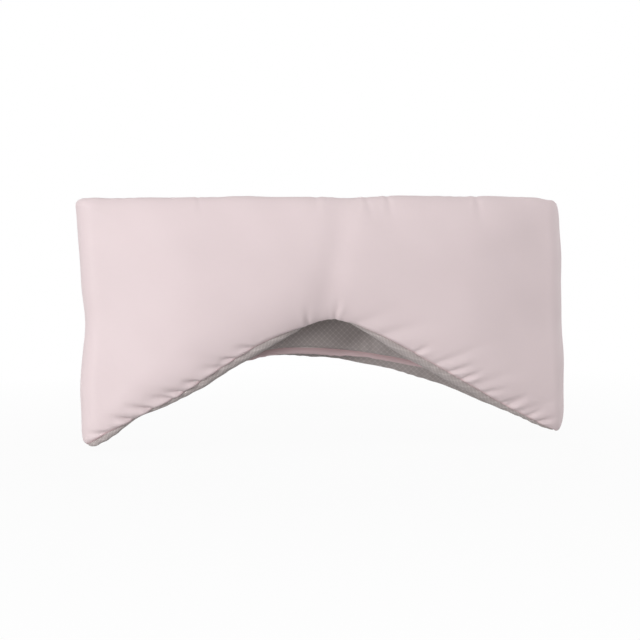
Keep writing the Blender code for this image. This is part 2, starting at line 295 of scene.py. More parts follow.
left_run, right_run = wing_places(LEFT_WING), wing_places(RIGHT_WING)
side_run = np.linspace(SIDE_RUN, 0, SIDE_PLACES)
front_edge = FRONT_HALF - SIDE_RUN
front_places = np.linspace(-front_edge, front_edge, FRONT_PLACES)
along = np.concatenate([
    -FRONT_HALF - left_run[:0:-1], side_run[::-1] - FRONT_HALF, front_places[1:-1],
    FRONT_HALF - side_run, FRONT_HALF + right_run[1:],
])
ends = [0, len(left_run) - 1, len(left_run) + len(side_run) - 2]
ends.append(ends[-1] + FRONT_PLACES - 1)
ends += [ends[-1] + len(side_run) - 1, len(along) - 1]
PANELS = ("left_wing", "left_side", "front", "right_side", "right_wing")
panel_of = {name: slice(first, last + 1) for name, first, last in zip(PANELS, ends, ends[1:])}

# The lower seam lies on the front's outer face, so that a strip of lining shows below the satin. On the
# wings it lies on the inner face, and a strip of satin shows there.
TOP_WRAP = 0.0015
LEFT_WRAP = 0.0027
LEFT_END_WRAP = 0.0012
LEFT_END_START = -0.02
LEFT_END_RUN = 0.07
RIGHT_WRAP = -0.0005
WRAP_START = 0.004
WRAP_RUN = 0.016
LEFT_STRIP = {"breadth": 0.0034, "start": 0.008, "grows": 0.030, "end": 0.100, "fades": 0.058}
RIGHT_STRIP = {"breadth": 0.0036, "start": 0.003, "grows": 0.036, "end": 0.108, "fades": 0.060}
LEFT_TIP_STRIP = (0.0028, -0.107, 0.009)
RIGHT_TIP_STRIP = (0.0009, 0.098, 0.012)
ARCH_TURN = 0.0002


def slope_strip(out, breadth, start, grows, end, fades):
    """Breadth of the lining below the satin on one slope: it grows from the arch's top and fades out."""
    return breadth * ease((out - start) / grows) * ease((end - out) / fades)


def front_strip(x):
    """Breadth of the lining below the satin: none at the arch's top, most on the slopes and tips."""
    left = slope_strip(-x, **LEFT_STRIP) + bump_at(x, *LEFT_TIP_STRIP)
    right = slope_strip(x, **RIGHT_STRIP) + bump_at(x, *RIGHT_TIP_STRIP)
    return left + right - ARCH_TURN


line = seam_lines(along)
past_fold = ease((np.abs(along) - FRONT_HALF + WRAP_START) / WRAP_RUN)
left_wrap = LEFT_WRAP + (LEFT_END_WRAP - LEFT_WRAP) * ease((line["x"] - LEFT_END_START) / LEFT_END_RUN)
low_wrap = np.where(along < 0, left_wrap, RIGHT_WRAP) * past_fold - front_strip(line["x"]) * (1 - past_fold)
top_wrap = TOP_WRAP + 0 * along
SATIN_ROWS = (40, 44, 56)
satin_form = layer(along, 1, top_wrap, low_wrap, SATIN_ROWS)
down = down_cloth(satin_form)
from_low = down[:, -1:] - down
from_edge = np.minimum(from_low, down)
FRONT_FADE = 0.02
on_front = ease((FRONT_HALF - np.abs(along)[:, None]) / FRONT_FADE)

# Puckers: short folds where the satin is gathered into its seams. On both slopes of the arch they run
# outwards, nearly level on the left and rising a little on the right, with a few long faint ones among
# them. At the arch's top and on the upper edge they stand upright. Edge 0 is the upper seam and -1 the
# lower one, and the starts are places across the mask.
PUCKERS = (
    {"edge": -1, "heading": math.pi, "spread": 0.12, "length": 0.011, "depth": 0.0015, "width": 0.0012,
     "starts": (-0.108, -0.095, -0.0855, -0.076, -0.0707, -0.063, -0.053, -0.0465, -0.038)},
    {"edge": -1, "heading": 0.30, "spread": 0.15, "length": 0.012, "depth": 0.0010, "width": 0.0010,
     "starts": (0.040, 0.057, 0.0635, 0.075, 0.085, 0.0875, 0.098, 0.104)},
    {"edge": -1, "heading": 0.22, "spread": 0.12, "length": 0.030, "depth": 0.0004, "width": 0.0019,
     "starts": (0.012, 0.024, 0.050, 0.069, 0.093)},
    {"edge": -1, "heading": math.pi - 0.05, "spread": 0.12, "length": 0.030, "depth": 0.0004,
     "width": 0.0019, "starts": (-0.050, -0.069, -0.093)},
    {"edge": -1, "heading": math.pi / 2, "spread": 0.15, "length": 0.010, "depth": 0.0006, "width": 0.0012,
     "starts": (-0.0115, 0.0022)},
    {"edge": 0, "heading": -math.pi / 2, "spread": 0.20, "length": 0.014, "depth": 0.0003, "width": 0.0012,
     "starts": (-0.062, -0.006, 0.017, 0.027, 0.071)},
)
# Each one's length, depth and width are drawn between two shares of its group's. The lip and the groove
# lie so many breadths off the pucker's line.
LENGTH_SHARES = (0.7, 1.4)
DEPTH_SHARES = (0.6, 1.3)
WIDTH_SHARES = (0.75, 1.2)
LIP_HEIGHT = 0.5
LIP_OFF = 1.7
GROOVE_OFF = 0.3
PUCKER_LIFT = 0.0012
PUCKER_FOOT = 0.004
PUCKER_START = 0.005
SEAM_SHARE = 0.35
SEAM_RUN = 0.003
chance = np.random.default_rng(5)


def pucker_field(points, foot, starts, heading, spread, length, depth, width):
    """Sum of puckers: each is a Gaussian groove with a lip below it, which fade along its heading."""
    x, z = points[..., 0], points[..., 2]
    total = np.zeros_like(x)
    for start in starts:
        turn = heading + spread * chance.uniform(-1, 1)
        reach, deep = length * chance.uniform(*LENGTH_SHARES), depth * chance.uniform(*DEPTH_SHARES)
        breadth = width * chance.uniform(*WIDTH_SHARES)
        right, up = x - start, z - np.interp(start, foot[:, 0], foot[:, 2]) - PUCKER_LIFT
        run = right * math.cos(turn) + up * math.sin(turn)
        off = (up * math.cos(turn) - right * math.sin(turn)) * math.copysign(1, math.cos(turn))
        broad = breadth * (1 + np.clip(run / reach, 0, 2))
        fade = ease((run + PUCKER_FOOT) / PUCKER_START) * ease(1 - run / reach)
        lip = LIP_HEIGHT * bell(off + LIP_OFF * broad, broad)
        total += deep * fade * (lip - bell(off - GROOVE_OFF * broad, broad))
    return total


puckers = np.zeros_like(down)
for group in PUCKERS:
    shape = {key: value for key, value in group.items() if key != "edge"}
    puckers += pucker_field(satin_form, satin_form[panel_of["front"], group["edge"]], **shape)
puckers *= SEAM_SHARE + (1 - SEAM_SHARE) * ease(from_edge / SEAM_RUN)

CREASE_DEPTH = 0.0008
CREASE_BREADTH = 0.007
CREASE_FOOT = -0.0047
CREASE_LEAN = 0.2
CREASE_END = -0.006
CREASE_FADE = 0.020


def nose_crease(points):
    """The upright crease above the nose: a leaning Gaussian groove, which dies out above the seam."""
    x, z = points[..., 0], points[..., 2]
    groove = bell(x - CREASE_FOOT - CREASE_LEAN * z, CREASE_BREADTH)
    return -CREASE_DEPTH * groove * ease((z - CREASE_END) / CREASE_FADE)


SWELL_WAVES = 8
SHORT_SWELL = 0.018
LONG_SWELL = 0.050


def swells(place, height, seed):
    """Eight crossed waves of 18 to 50 mm with chance directions, so that the cloth is uneven all over."""
    draw = np.random.default_rng(seed)
    total = np.zeros(np.broadcast_shapes(np.shape(place), np.shape(height)))
    for _ in range(SWELL_WAVES):
        turn, length, phase = draw.uniform((0, SHORT_SWELL, 0), (math.pi, LONG_SWELL, 2 * math.pi))
        total += np.sin(2 * math.pi * (place * math.cos(turn) + height * math.sin(turn)) / length + phase)
    return total / 2


RIPPLE_HEIGHT = 0.0003
RIPPLE_STEP = 0.0011
RIPPLE_QUICKENS = 0.0049
RIPPLE_SWING = 2.0
RIPPLE_DIES = 0.0083
RIPPLE_PHASE = 1.0
STEADY_SHARE = 0.55
DYING_SHARE = 0.45


def seam_ripple(place):
    """Small gathers along a seam: a wave of about 7 mm that quickens, slackens and dies away in turns."""
    quick = np.sin(place / RIPPLE_STEP + RIPPLE_SWING * np.sin(place / RIPPLE_QUICKENS))
    dying = DYING_SHARE * np.sin(place / RIPPLE_DIES + RIPPLE_PHASE)
    return RIPPLE_HEIGHT * quick * (STEADY_SHARE + dying)


# At its seams the cloth goes in steeply. It goes in deeper below the wings, where the satin rolls over.
TUCK = 0.0013
TUCK_RUN = 0.0032
WING_TUCK = 0.8
WING_TUCK_START = 0.020
WING_TUCK_RUN = 0.040
far_back = ease((np.abs(along) - FRONT_HALF - WING_TUCK_START) / WING_TUCK_RUN)[:, None]


def tuck_share(distance):
    """How far in the cloth has gone, at a distance from its seam: the square of what is left of the run."""
    return np.clip(1 - distance / TUCK_RUN, 0, 1) ** 2


def tuck_depth(low, top):
    """How deep the cloth goes in, from its distances to the lower and the upper seam."""
    return TUCK * (1 + WING_TUCK * far_back * (low < top)) * line["end"][:, None]


SATIN_WAVE = 0.00024
FRONT_WAVE_LESS = 0.00006
SATIN_WAVE_SEED = 2
WING_RIPPLE = 1.5
FRONT_RIPPLE_LESS = 1.1
RIPPLE_FADE = 0.005
tuck = tuck_share(from_edge)
uneven = swells(along[:, None], satin_form[..., 2], SATIN_WAVE_SEED)
waves = (SATIN_WAVE - FRONT_WAVE_LESS * on_front) * uneven + on_front * nose_crease(satin_form)
ripple_share = WING_RIPPLE - FRONT_RIPPLE_LESS * on_front
gathers = seam_ripple(along[:, None]) * ripple_share * np.exp(-from_edge / RIPPLE_FADE)
shift = on_front * puckers + (waves + gathers) * (1 - tuck) - tuck_depth(from_low, down) * tuck
satin_gathered = satin_form + grid_normals(satin_form, 1) * shift[..., None]

# The satin settles over its filling. Threads run along the cloth, down it and on both diagonals.
THREADS = {
    "along": (np.s_[1:, :], np.s_[:-1, :]),
    "down": (np.s_[:, 1:], np.s_[:, :-1]),
    "falling": (np.s_[1:, 1:], np.s_[:-1, :-1]),
    "rising": (np.s_[1:, :-1], np.s_[:-1, 1:]),
}
SETTLE_ROUNDS = 160
THREAD_PULL = 0.12
BEND_EVENING = 0.05
FILL_PUSH = 0.010
ARCH_GATHER = 0.035
TOP_GATHER = 0.004
GATHER_RUN = 0.010
DOWN_GATHER = 0.15


def cut_lengths(form, gather):
    """Cut length of every thread: its length on the padded form, and more where the cloth is gathered."""
    lengths = {}
    for way, (ahead, behind) in THREADS.items():
        length = np.linalg.norm(form[ahead] - form[behind], axis=-1)
        more = (gather[ahead] + gather[behind]) / 2
        lengths[way] = length * (1 + more * (DOWN_GATHER if way == "down" else 1.0))
    return lengths


def settle(form, cut):
    """Relaxes the cloth over its filling, with its border held, and gives the settled points.

    In each round every thread is drawn towards its cut length, a point's neighbours even out its bending,
    and the filling brings it back a little towards the padded form.
    """
    points = form.copy()
    free = np.s_[1:-1, 1:-1]
    for _ in range(SETTLE_ROUNDS):
        pull = np.zeros_like(points)
        for way, (ahead, behind) in THREADS.items():
            span = points[ahead] - points[behind]
            length = np.linalg.norm(span, axis=-1)
            span *= ((1 - cut[way] / length) * THREAD_PULL)[..., None]
            pull[ahead] -= span
            pull[behind] += span
        lift = points - form
        around = lift[2:, 1:-1] + lift[:-2, 1:-1] + lift[1:-1, 2:] + lift[1:-1, :-2]
        even = around / 4 - lift[free]
        points[free] += pull[free] + BEND_EVENING * even - FILL_PUSH * lift[free]
    return points


satin_points = satin_gathered
gather = on_front * ARCH_GATHER * np.exp(-from_low / GATHER_RUN)
gather = gather + TOP_GATHER * np.exp(-down / GATHER_RUN)
satin_points = settle(satin_gathered, cut_lengths(satin_gathered, gather))


class Wire:
    """One socket of a shader. Operators on it add Math nodes, and node() adds any other node."""

    def __init__(self, tree, socket=None):
        self.tree, self.socket = tree, socket

    def node(self, kind, settings=None, sockets=None, output=0):
        """A node of this type, with its settings made first, then its sockets' values or links."""
        made = self.tree.nodes.new("ShaderNode" + kind)
        for key, value in (settings or {}).items():
            setattr(made, key, value)
        self.feed(made, sockets or {})
        return Wire(self.tree, made.outputs[output])

    def feed(self, node, sockets):
        """Sets sockets of a node, by name or number, to values or links."""
        for key, value in sockets.items():
            if isinstance(value, Wire):
                self.tree.links.new(value.socket, node.inputs[key])
            else:
                node.inputs[key].default_value = value

    def maths(self, operation, *values):
        """A Math node on these values or wires."""
        return self.node("Math", {"operation": operation}, dict(enumerate(values)))

    def parts(self):
        """Wires to the three parts of a vector."""
        split = self.node("SeparateXYZ", None, {0: self}).socket.node
        return [Wire(self.tree, part) for part in split.outputs]

    def __add__(self, other):
        return self.maths("ADD", self, other)

    def __mul__(self, other):
        return self.maths("MULTIPLY", self, other)

    __radd__ = __add__
    __rmul__ = __mul__


def finish_of(name):
    """A new material: its shader and a wire to start from."""
    material = bpy.data.materials.new(name)
    material.use_nodes = True
    shader = material.node_tree.nodes["Principled BSDF"]
    return material, shader, Wire(material.node_tree)


def blend_of(wire, share, first, second):
    """A mix of two colours."""
    sockets = {"Factor": share, 6: first, 7: second}
    return wire.node("Mix", {"data_type": "RGBA"}, sockets, 2)


SATIN_PINK = (0.755, 0.640, 0.650, 1.0)
SATIN_ROSE = (0.775, 0.648, 0.660, 1.0)
# The last is painted shade: the darker rose laid along the seams.
SEAM_SHADE_ROSE = (0.690, 0.490, 0.505, 1.0)
TWILL_STEP = 0.0007
satin_finish, shader, wire = finish_of("pink_satin")
cloth = wire.node("Attribute", {"attribute_name": "cloth"}, output="Vector")
across_cloth, down_the_cloth, seam_shade_share = cloth.parts()
cloudy = wire.node("TexNoise", None, {"Vector": cloth, "Scale": 38.0, "Detail": 3.0})
slub = wire.node("Mapping", None, {"Vector": cloth, "Scale": (60.0, 1400.0, 1.0)})
slub = wire.node("TexNoise", None, {"Vector": slub, "Scale": 1.0, "Detail": 2.0})
twill = wire.maths("SINE", (across_cloth + down_the_cloth * 0.6) * (2 * math.pi / TWILL_STEP))
colour = blend_of(wire, cloudy * 0.8 + slub * 0.3, SATIN_PINK, SATIN_ROSE)
# Painted shade: towards its seams the satin turns a darker rose.
colour = blend_of(wire, seam_shade_share * 0.8, colour, SEAM_SHADE_ROSE)
bump = wire.node("Bump", None, {"Strength": 0.12, "Distance": 0.0002, "Height": twill * 0.35 + slub})
wire.feed(shader, {
    "Base Color": colour, "Roughness": 0.50 + slub * 0.12, "Normal": bump,
    "Sheen Weight": 0.12, "Sheen Roughness": 0.45, "Specular IOR Level": 0.32,
})


def new_piece(name, points, faces, finish):
    """A smooth mesh object at the origin, from its points, its faces' corner numbers and its material."""
    mesh = bpy.data.meshes.new(name)
    mesh.from_pydata(points, [], faces)
    mesh.shade_smooth()
    mesh.materials.append(finish)
    piece = bpy.data.objects.new(name, mesh)
    bpy.context.scene.collection.objects.link(piece)
    return piece


def grid_faces(rows, columns, start=0):
    """Corner numbers of a grid's quads."""
    number = start + np.arange(rows * columns).reshape(rows, columns)
    corners = [number[:-1, :-1], number[1:, :-1], number[1:, 1:], number[:-1, 1:]]
    return np.stack(corners, axis=-1).reshape(-1, 4)


def rim(rows, columns):
    """Numbers of a grid's border points, in order round it."""
    number = np.arange(rows * columns).reshape(rows, columns)
    return np.concatenate([number[:, 0], number[-1, 1:], number[-2::-1, -1], number[0, -2:0:-1]])


def closed_piece(name, outer, inner, finish, face, cloth_place=None, outer_normals=None):
    """A closed body between two grids of points: both grids, and a wall round their border."""
    rows, columns = outer.shape[:2]
    count = rows * columns
    border = rim(rows, columns)
    following = np.roll(border, -1)
    wall = np.stack([border, border + count, following + count, following], axis=-1)
    inside = grid_faces(rows, columns, count)
    quads = np.concatenate([grid_faces(rows, columns), inside[:, ::-1], wall[:, ::-1]])
    if face > 0:
        quads = quads[:, ::-1]
    points = np.concatenate([outer.reshape(-1, 3), inner.reshape(-1, 3)])
    piece = new_piece(name, points, quads.tolist(), finish)
    mesh = piece.data
    if cloth_place is not None:
        place = np.tile(cloth_place.reshape(-1, 3), (2, 1)).astype(np.float32)
        mesh.attributes.new("cloth", "FLOAT_VECTOR", "POINT").data.foreach_set("vector", place.ravel())
    if outer_normals is not None:
        both = np.concatenate([outer_normals.reshape(-1, 3), -outer_normals.reshape(-1, 3)])
        mesh.normals_split_custom_set_from_vertices(both)
    return piece


# Each side fold has two creases, at these turns round the fold.
BEND = 0.0019
CREASE_WAY = {"side": math.radians(45), "wing": math.radians(-28)}


def follow(piece, panel):
    """The front rides on its own body. A side or a wing is baked where it stands."""
    if panel == "front":
        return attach(piece, "front")
    side, kind = panel.split("_")
    sign = 1 if side == "right" else -1
    way = CREASE_WAY[kind]
    step = BEND * np.array((sign * math.sin(way), math.cos(way), 0))
    before = "front" if kind == "side" else side + "_side"
    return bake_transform(piece)


PRESSED_RUN = 0.004
PRESSED_SHARE = 0.85
# How far from its seams the satin is painted a darker rose as painted shade, on the front and on the wings.
SEAM_SHADE_RUN = 0.0022
WING_SEAM_SHADE_RUN = 0.0080


def cloth_panels(name, form, points, face, thickness, finish, node):
    """The layer's pieces, one for each panel, with normals taken from the whole cloth.

    Each point keeps its place along and down the cloth, and a share that grows towards the seams, which the
    satin uses for painted shade, a darker rose. The cloth is pressed thin towards its seams.
    """
    cloth_normals = grid_normals(points, face)
    run_down = down_cloth(form)
    from_seam = np.minimum(run_down, run_down[:, -1:] - run_down)
    # Painted shade: a share that grows towards the seams, for the satin's darker rose.
    seam_shade = ease(1 - from_seam / (SEAM_SHADE_RUN + (WING_SEAM_SHADE_RUN - SEAM_SHADE_RUN) * past_fold[:, None]))
    pressed = thickness * (1 - PRESSED_SHARE * ease(1 - from_seam / PRESSED_RUN))
    place = np.stack([along[:, None] + 0 * run_down, run_down, seam_shade], axis=-1)
    made = {}
    for panel, span in panel_of.items():
        outer, out = points[span], cloth_normals[span]
        inner = outer - pressed[span, :, None] * out
        piece = closed_piece(f"{panel}_{name}", outer, inner, finish, face, place[span], out)
        follow(piece, panel)
        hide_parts(f"{panel}_{node}")
        made[panel] = piece
    return made


satin_pieces = cloth_panels(
    "satin", satin_form, satin_points, 1, SATIN_THICKNESS, satin_finish, "cover",
)


# The lining
# A grey knit with a fine dot in every other stitch lies against the face. On the front it goes round the
# lower edge to the satin, and on the wings the satin comes round to it.

LINING_THICKNESS = 0.0005
LINING_ROWS = (30, 40, 48)
LINING_WAVE = 0.00022
LINING_WAVE_SEED = 3
LINING_RIPPLE_SHIFT = 0.013
LINING_RIPPLE_FADE = 0.006
WRINKLE_HEIGHT = 0.00022
WRINKLE_STEP = 0.00062
WRINKLE_RISE = 0.019
WRINKLE_PHASE = 0.4
WRINKLE_RUN = 0.009
lining_form = layer(along, -1, -top_wrap, -low_wrap, LINING_ROWS)
lining_down = down_cloth(lining_form)
lining_low = lining_down[:, -1:] - lining_down
lining_edge = np.minimum(lining_low, lining_down)
lining_tuck = tuck_share(lining_edge)

# Round the side folds the lining is short of room, and wrinkles: a fine wave, in two stretches of height.
from_fold = np.abs(np.abs(along) - FRONT_HALF)[:, None]
stretches = np.sin(lining_form[..., 2] / WRINKLE_RISE + WRINKLE_PHASE) ** 2
wrinkles = np.sin(along / WRINKLE_STEP)[:, None] * stretches * bell(from_fold, WRINKLE_RUN)
lining_fade = np.exp(-lining_edge / LINING_RIPPLE_FADE)
lining_gathers = seam_ripple(along[:, None] + LINING_RIPPLE_SHIFT) * lining_fade
lining_waves = LINING_WAVE * swells(along[:, None], lining_form[..., 2], LINING_WAVE_SEED)
lining_shift = (lining_gathers + lining_waves + WRINKLE_HEIGHT * wrinkles) * (1 - lining_tuck)
lining_shift -= tuck_depth(lining_low, lining_down) * lining_tuck
lining_points = lining_form + grid_normals(lining_form, -1) * lining_shift[..., None]

LINING_DARK = (0.440, 0.390, 0.380, 1.0)
LINING_LIGHT = (0.565, 0.510, 0.499, 1.0)
DOT_PITCH = 0.0029
lining_finish, shader, wire = finish_of("grey_dotted_lining")
cloth = wire.node("Attribute", {"attribute_name": "cloth"}, output="Vector")
turned = wire.node("Mapping", None, {"Vector": cloth, "Scale": (2 * math.pi / DOT_PITCH,) * 3})
across_cloth, down_the_cloth, _ = turned.parts()
dots = wire.maths("COSINE", across_cloth) * wire.maths("COSINE", down_the_cloth)
stitch = wire.maths("COSINE", across_cloth * 2.0) * wire.maths("COSINE", down_the_cloth * 2.0)
edges = {"Value": dots * 0.6 + stitch * 0.4, "From Min": -0.15, "From Max": 0.65}
dots = wire.node("MapRange", {"interpolation_type": "SMOOTHSTEP"}, edges)
fuzz = wire.node("TexNoise", None, {"Vector": cloth, "Scale": 900.0, "Detail": 2.0})
colour = blend_of(wire, dots * (0.75 + fuzz * 0.4), LINING_DARK, LINING_LIGHT)
bump = wire.node("Bump", None, {"Strength": 0.35, "Distance": 0.0003, "Height": dots + fuzz * 0.5})
wire.feed(shader, {
    "Base Color": colour, "Roughness": 0.82 + fuzz * 0.1, "Normal": bump,
    "Sheen Weight": 0.15, "Sheen Roughness": 0.6, "Specular IOR Level": 0.2,
})
lining_pieces = cloth_panels(
    "knit", lining_form, lining_points, -1, LINING_THICKNESS, lining_finish, "lining",
)


# The wadding
# White polyester fibre fills the space between satin and lining. It is cut short of the seams and of the
# creases, and it rides inside its panel.

WADDING_INSET = 0.0016
WADDING_ROWS = (12, 14, 12)
WADDING_EDGE = -0.0030
WADDING_END = 0.003
CREASE_GAP = 0.0022
LUMP_HEIGHT = 0.0002
LUMP_BREADTH = 0.004
LUMP_TALLNESS = 0.0037
WADDING_WHITE = (0.80, 0.79, 0.77, 1.0)
WADDING_SHADE = (0.66, 0.65, 0.63, 1.0)
wadding_finish, shader, wire = finish_of("fibre_wadding")
spot = wire.node("TexCoord", None, None, "Object")
fibres = wire.node("TexNoise", None, {"Vector": spot, "Scale": 260.0, "Detail": 6.0, "Distortion": 2.5})
colour = blend_of(wire, fibres, WADDING_SHADE, WADDING_WHITE)
bump = wire.node("Bump", None, {"Strength": 0.6, "Distance": 0.001, "Height": fibres})
rough = 0.85 + fibres * 0.1
wire.feed(shader, {"Base Color": colour, "Roughness": rough, "Normal": bump, "Sheen Weight": 0.3})

# Places along the cloth, right of the middle, of the two creases and of the wings' ends.
front_crease = FRONT_HALF - FOLD_RADIUS * CREASE_WAY["side"]
wing_crease = FRONT_HALF - FOLD_RADIUS * CREASE_WAY["wing"]
left_end = FRONT_HALF + wing_length(LEFT_WING) - WADDING_END
right_end = FRONT_HALF + wing_length(RIGHT_WING) - WADDING_END
wadding_spans = {
    "front": (-front_crease + CREASE_GAP, front_crease - CREASE_GAP, 90),
    "left_side": (-wing_crease + CREASE_GAP, -front_crease - CREASE_GAP, 6),
    "right_side": (front_crease + CREASE_GAP, wing_crease - CREASE_GAP, 6),
    "left_wing": (-left_end, -wing_crease - CREASE_GAP, 60),
    "right_wing": (wing_crease + CREASE_GAP, right_end, 56),
}
for panel, (first, last, count) in wadding_spans.items():
    places = np.linspace(first, last, count)
    edge = WADDING_EDGE + 0 * places
    grids = []
    for face in (1, -1):
        grid = layer(places, face, edge, edge, WADDING_ROWS)
        lumps = LUMP_HEIGHT * np.sin(grid[..., 0] / LUMP_BREADTH) * np.sin(grid[..., 2] / LUMP_TALLNESS)
        grids.append(grid - grid_normals(grid, face) * (WADDING_INSET + lumps)[..., None])
    fill = closed_piece(f"{panel}_wadding_fill", *grids, wadding_finish, 1)
    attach(fill, panel)
    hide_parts(f"{panel}_wadding")


# The seam threads
# Pink sewing thread holds satin and lining together. It dips in and out along the bottom of each seam's
# groove, where the two cloths meet.

THREAD_RADIUS = 0.0002
THREAD_SINK = 0.00045
THREAD_DIP = 0.00015
THREAD_STEP = 0.0007
LEAST_POINTS = 8
NEARLY_UPRIGHT = 0.9
STITCH_LENGTH = 0.0026
THREAD_PINK = (0.62, 0.47, 0.48, 1.0)
THREAD_PALE = (0.72, 0.58, 0.59, 1.0)
thread_finish, shader, wire = finish_of("sewing_thread")
spot = wire.node("TexCoord", None, None, "Object")
ply = wire.node("TexNoise", None, {"Vector": spot, "Scale": 2600.0, "Detail": 1.0})
colour = blend_of(wire, ply, THREAD_PINK, THREAD_PALE)
bump = wire.node("Bump", None, {"Strength": 0.3, "Distance": 0.0001, "Height": ply})
wire.feed(shader, {"Base Color": colour, "Roughness": 0.55 + ply * 0.1, "Normal": bump})


def ring_round(way, steady, sides):
    """Unit vectors round a line: the two directions square to it, turned in even steps."""
    first = unit(np.cross(way, steady))
    second = np.cross(way, first)
    turn = (np.arange(sides) * 2 * math.pi / sides)[:, None]
    return first[..., None, :] * np.cos(turn) + second[..., None, :] * np.sin(turn)


def ring_quads(here, there):
    """Corner numbers of the quads between rings of points, whose last axis goes round."""
    corners = [here, np.roll(here, -1, axis=-1), np.roll(there, -1, axis=-1), there]
    return np.stack(corners, axis=-1).reshape(-1, 4)


def tube(name, path, radius, finish, sides=6, closed=False):
    """A round tube along a line of points, with its ring turned square to the line everywhere."""
    if closed:
        way = unit(np.roll(path, -1, axis=0) - np.roll(path, 1, axis=0))
    else:
        way = unit(np.gradient(path, axis=0))
    steady = np.where(np.abs(way[:, 2:]) > NEARLY_UPRIGHT, (1.0, 0.0, 0.0), (0.0, 0.0, 1.0))
    points = (path[:, None] + radius * ring_round(way, steady, sides)).reshape(-1, 3)
    number = np.arange(len(path) * sides).reshape(len(path), sides)
    if closed:
        faces = ring_quads(number, np.roll(number, -1, axis=0)).tolist()
    else:
        faces = ring_quads(number[:-1], number[1:]).tolist()
        faces += [number[0][::-1].tolist(), number[-1].tolist()]
    return new_piece(name, points, faces, finish)


def seam_thread(name, panel, points, outward, node):
    """Thread along a seam: the seam's own points, sunk into the groove and waved by the stitches."""
    step = np.linalg.norm(np.diff(points, axis=0), axis=1)
    run = np.concatenate([[0], np.cumsum(step)])
    fine = np.linspace(0, run[-1], max(LEAST_POINTS, round(run[-1] / THREAD_STEP)))
    path, out = (np.stack([np.interp(fine, run, k) for k in row.T], axis=1) for row in (points, outward))
    depth = THREAD_SINK + THREAD_DIP * np.sin(2 * math.pi * fine / STITCH_LENGTH)
    piece = tube(name, path - out * depth[:, None], THREAD_RADIUS, thread_finish)
    follow(piece, panel)
    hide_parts(node)


def round_wing(grid):
    """A wing's border from its fold: along the lower edge, up its end and back along the upper edge."""
    return np.concatenate([grid[:-1, -1], grid[-1, ::-1], grid[-2::-1, 0]])


satin_normals = grid_normals(satin_points, 1)
for panel in ("front", "left_side", "right_side"):
    span = panel_of[panel]
    for level, row in (("upper", 0), ("lower", -1)):
        name = f"{panel}_{level}"
        seam, out = satin_points[span, row], satin_normals[span, row]
        seam_thread(f"{name}_stitches", panel, seam, out, f"{name}_seam_thread")
for panel, outwards in (("left_wing", -1), ("right_wing", 1)):
    span = panel_of[panel]
    border, out = (round_wing(grid[span][::outwards]) for grid in (satin_points, satin_normals))
    seam_thread(f"{panel}_stitches", panel, border, out, f"{panel}_seam_thread")


# The closure
# A loop tape is sewn to the outside of the left wing's end and a hook tape to the inside of the right
# wing's. Each is a woven backing with a pile inside its bare border, and thread round that border.

TAPE_LENGTH = 0.062
TAPE_HEIGHT = 0.036
TAPE_MIDDLE = (0.012, 0.016)
TAPE_BACKING = 0.0005
TAPE_CORNER = 0.003
TAPE_GAP = 0.0003
TAPE_GRID = (61, 41)
SELVAGE = 0.0026
PILE_MARGIN = 0.0008
PILE = 0.0009
LOOP_SEAT = LEFT_WING["depth"] + WING_SWELL + TAPE_GAP
HOOK_SEAT = RIGHT_WING["depth"] - WING_SWELL - TAPE_GAP
RIB_STEP = 0.0008
WEFT_STEP = 0.0006


def tape_finish(name, dark, light, roughness):
    """A narrow woven tape: fine ribs across it, with a little uneven colour."""
    material, tape_shader, tape_wire = finish_of(name)
    place = tape_wire.node("TexCoord", None, None, "Object")
    over, _, up = place.parts()
    warp = tape_wire.maths("SINE", over * (2 * math.pi / RIB_STEP))
    ribs = warp * tape_wire.maths("SINE", up * (2 * math.pi / WEFT_STEP))
    grain = tape_wire.node("TexNoise", None, {"Vector": place, "Scale": 700.0, "Detail": 3.0})
    shade = blend_of(tape_wire, grain * 0.7 + ribs * 0.3, dark, light)
    rise = tape_wire.node("Bump", None, {"Strength": 0.5, "Distance": 0.0002, "Height": ribs + grain * 0.5})
    tape_wire.feed(tape_shader, {"Base Color": shade, "Roughness": grain * 0.1 + roughness, "Normal": rise})
    return material


def tape_backing(name, seat, facing, finish):
    """A thin plate with rounded corners: each line across is as long as the rounded outline there."""
    u, v = np.meshgrid(*(np.linspace(-1, 1, count) for count in TAPE_GRID), indexing="ij")
    up = v * TAPE_HEIGHT / 2
    beyond = np.clip(np.abs(up) - TAPE_HEIGHT / 2 + TAPE_CORNER, 0, TAPE_CORNER)
    half = TAPE_LENGTH / 2 - TAPE_CORNER + np.sqrt(TAPE_CORNER**2 - beyond**2)
    x, z = TAPE_MIDDLE[0] + u * half, TAPE_MIDDLE[1] + up
    grids = [np.stack([x, np.full_like(x, seat + facing * t), z], axis=-1) for t in (TAPE_BACKING, 0)]
    return closed_piece(name, *grids, finish, facing)


ASKEW = np.array((0.31, 0.17, 0.93))


def tufts(name, places, paths, radius, finish, sides=4):
    """The same fine tube at many places: each has its own path of points, carried to its place."""
    count, steps = paths.shape[:2]
    ring = ring_round(unit(np.gradient(paths, axis=1)), ASKEW, sides)
    points = places[:, None, None] + paths[:, :, None] + radius * ring
    number = np.arange(count * steps * sides).reshape(count, steps, sides)
    quads = ring_quads(number[:, :-1], number[:, 1:])
    lids = np.concatenate([number[:, 0, ::-1], number[:, -1]])
    return new_piece(name, points.reshape(-1, 3), quads.tolist() + lids.tolist(), finish)


def pile_places(pitch, seat, facing, jitter):
    """Places of a tape's tufts inside its bare border, a pitch apart and every other row shifted."""
    border = SELVAGE + PILE_MARGIN
    wide, tall = TAPE_LENGTH / 2 - border, TAPE_HEIGHT / 2 - border
    x, z = np.meshgrid(np.arange(-wide, wide, pitch), np.arange(-tall, tall, pitch), indexing="ij")
    x = x + pitch / 2 * (np.arange(x.shape[1]) % 2)
    shift = chance.uniform(-jitter, jitter, (2, *x.shape))
    x, z = TAPE_MIDDLE[0] + x + shift[0], TAPE_MIDDLE[1] + z + shift[1]
    return np.stack([x, np.full_like(x, seat + facing * TAPE_BACKING), z], axis=-1).reshape(-1, 3)


